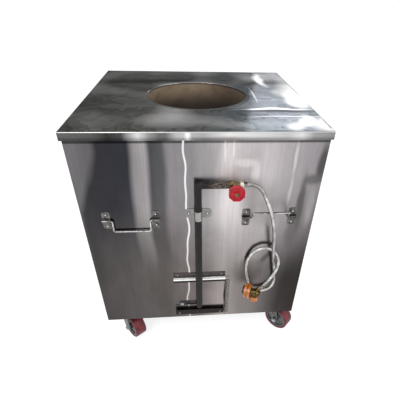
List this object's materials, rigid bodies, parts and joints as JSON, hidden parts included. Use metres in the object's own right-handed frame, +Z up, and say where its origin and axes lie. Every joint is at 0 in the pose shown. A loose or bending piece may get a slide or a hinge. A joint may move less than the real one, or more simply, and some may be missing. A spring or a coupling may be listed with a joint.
{
  "type": "trolley tandoor",
  "caption": "Square stainless cabinet round a clay pot oven with an open mouth, on swivel castors, with a gas pipe and valve, braided hose, regulator, sliding ash door and bail handles.",
  "frame": {"origin": "floor level, under the middle of the trolley's bounding box without the free hose and regulator", "axes": "+Z up, -Y out of the front panel with the pipe and the ash door, +X to the right seen from the front"},
  "size_m": [0.7452, 0.7825, 0.845],
  "materials": {
    "stainless_sheet": "bright cold-rolled sheet, lightly smudged",
    "tray_steel": "dull grey primer",
    "angle_iron": "dull primer on angle iron",
    "fired_clay": "dry matt earthenware",
    "mineral_fill": "loose mineral wool",
    "burner_iron": "raw casting",
    "black_pipe": "black varnished steel pipe",
    "bright_steel": "folded and pressed strip",
    "zinc_steel": "bright zinc plating",
    "valve_brass": "machined",
    "red_knob": "moulded, glossy",
    "hose_braid": "braided stainless wire",
    "orange_enamel": "glossy enamel",
    "black_casting": "painted zinc casting",
    "black_plastic": "moulded",
    "castor_steel": "zinc-plated pressing",
    "wheel_iron": "grey painted casting",
    "red_tyre": "moulded polyurethane"
  },
  "bodies": {
    "cabinet": {"top_cap": "stainless_sheet", "front_panel": "stainless_sheet", "rear_panel": "stainless_sheet", "left_panel": "stainless_sheet", "right_panel": "stainless_sheet", "base_tray": "tray_steel", "frame": "angle_iron", "pot_shelf": "angle_iron", "clay_pot": "fired_clay", "insulation": "mineral_fill", "burner_head": "burner_iron", "mixing_tube": "burner_iron", "gas_jet": "valve_brass", "burner_strap": "angle_iron", "strap_bolt": "zinc_steel", "gas_pipe": "black_pipe", "pipe_clamp": "bright_steel", "clamp_rivets": "zinc_steel", "valve_body": "valve_brass", "valve_gland": "valve_brass", "hose_nut": "valve_brass", "hose_ferrules": "zinc_steel", "gas_hose": "hose_braid", "regulator_nut": "valve_brass", "regulator_body": "black_casting", "regulator_cover": "orange_enamel", "regulator_socket": "orange_enamel", "door_rails": "bright_steel", "rail_rivets": "zinc_steel", "handle_saddles": "bright_steel", "handle_rivets": "zinc_steel", "castor_plates": "castor_steel", "castor_bolts": "zinc_steel"},
    "ash_door": {"door_sheet": "stainless_sheet", "door_pull": "bright_steel", "door_rivets": "zinc_steel"},
    "valve_handle": {"valve_spindle": "valve_brass", "valve_knob": "red_knob", "knob_screw": "valve_brass"},
    "regulator_switch": {"regulator_knob": "black_plastic"},
    "bail_front_left": {"bail_front_left": "zinc_steel"},
    "bail_front_right": {"bail_front_right": "zinc_steel"},
    "bail_rear_left": {"bail_rear_left": "zinc_steel"},
    "bail_rear_right": {"bail_rear_right": "zinc_steel"},
    "swivel_front_left": {"fork_front_left": "castor_steel", "axle_front_left": "zinc_steel"},
    "wheel_front_left": {"hub_front_left": "wheel_iron", "tyre_front_left": "red_tyre"},
    "swivel_front_right": {"fork_front_right": "castor_steel", "axle_front_right": "zinc_steel"},
    "wheel_front_right": {"hub_front_right": "wheel_iron", "tyre_front_right": "red_tyre"},
    "swivel_rear_left": {"fork_rear_left": "castor_steel", "axle_rear_left": "zinc_steel"},
    "wheel_rear_left": {"hub_rear_left": "wheel_iron", "tyre_rear_left": "red_tyre"},
    "swivel_rear_right": {"fork_rear_right": "castor_steel", "axle_rear_right": "zinc_steel"},
    "wheel_rear_right": {"hub_rear_right": "wheel_iron", "tyre_rear_right": "red_tyre"}
  },
  "joints": [
    {"name": "ash_door_slide", "type": "slide", "parent": "cabinet", "child": "ash_door", "axis": [1, 0, 0], "range_m": [0, 0.056]},
    {"name": "valve_turn", "type": "hinge", "parent": "cabinet", "child": "valve_handle", "pos_m": [0.094, -0.36988, 0.695], "axis": [0, -1, 0], "range_deg": [0, 540]},
    {"name": "regulator_turn", "type": "hinge", "parent": "cabinet", "child": "regulator_switch", "pos_m": [0.14466, -0.35797, 0.29798], "axis": [-0.9135, 0.4067, 0], "range_deg": [0, 90]},
    {"name": "bail_front_left_swing", "type": "hinge", "parent": "cabinet", "child": "bail_front_left", "pos_m": [-0.208, -0.32588, 0.576], "axis": [-1, 0, 0], "range_deg": [0, 180]},
    {"name": "bail_front_right_swing", "type": "hinge", "parent": "cabinet", "child": "bail_front_right", "pos_m": [0.208, -0.32588, 0.576], "axis": [-1, 0, 0], "range_deg": [-144, 36]},
    {"name": "bail_rear_left_swing", "type": "hinge", "parent": "cabinet", "child": "bail_rear_left", "pos_m": [-0.208, 0.38612, 0.576], "axis": [1, 0, 0], "range_deg": [0, 180]},
    {"name": "bail_rear_right_swing", "type": "hinge", "parent": "cabinet", "child": "bail_rear_right", "pos_m": [0.208, 0.38612, 0.576], "axis": [1, 0, 0], "range_deg": [0, 180]},
    {"name": "castor_front_left_swivel", "type": "hinge", "parent": "cabinet", "child": "swivel_front_left", "pos_m": [-0.29, -0.24988, 0.1], "axis": [0, 0, 1], "continuous": true},
    {"name": "castor_front_left_roll", "type": "hinge", "parent": "swivel_front_left", "child": "wheel_front_left", "pos_m": [-0.2666, -0.27982, 0.05], "axis": [0.788, 0.6157, 0], "continuous": true},
    {"name": "castor_front_right_swivel", "type": "hinge", "parent": "cabinet", "child": "swivel_front_right", "pos_m": [0.29, -0.24988, 0.1], "axis": [0, 0, 1], "continuous": true},
    {"name": "castor_front_right_roll", "type": "hinge", "parent": "swivel_front_right", "child": "wheel_front_right", "pos_m": [0.31687, -0.27675, 0.05], "axis": [0.7071, 0.7071, 0], "continuous": true},
    {"name": "castor_rear_left_swivel", "type": "hinge", "parent": "cabinet", "child": "swivel_rear_left", "pos_m": [-0.29, 0.31012, 0.1], "axis": [0, 0, 1], "continuous": true},
    {"name": "castor_rear_left_roll", "type": "hinge", "parent": "swivel_rear_left", "child": "wheel_rear_left", "pos_m": [-0.32498, 0.29528, 0.05], "axis": [0.3907, -0.9205, 0], "continuous": true},
    {"name": "castor_rear_right_swivel", "type": "hinge", "parent": "cabinet", "child": "swivel_rear_right", "pos_m": [0.29, 0.31012, 0.1], "axis": [0, 0, 1], "continuous": true},
    {"name": "castor_rear_right_roll", "type": "hinge", "parent": "swivel_rear_right", "child": "wheel_rear_right", "pos_m": [0.31443, 0.28102, 0.05], "axis": [0.766, 0.6428, 0], "continuous": true}
  ]
}
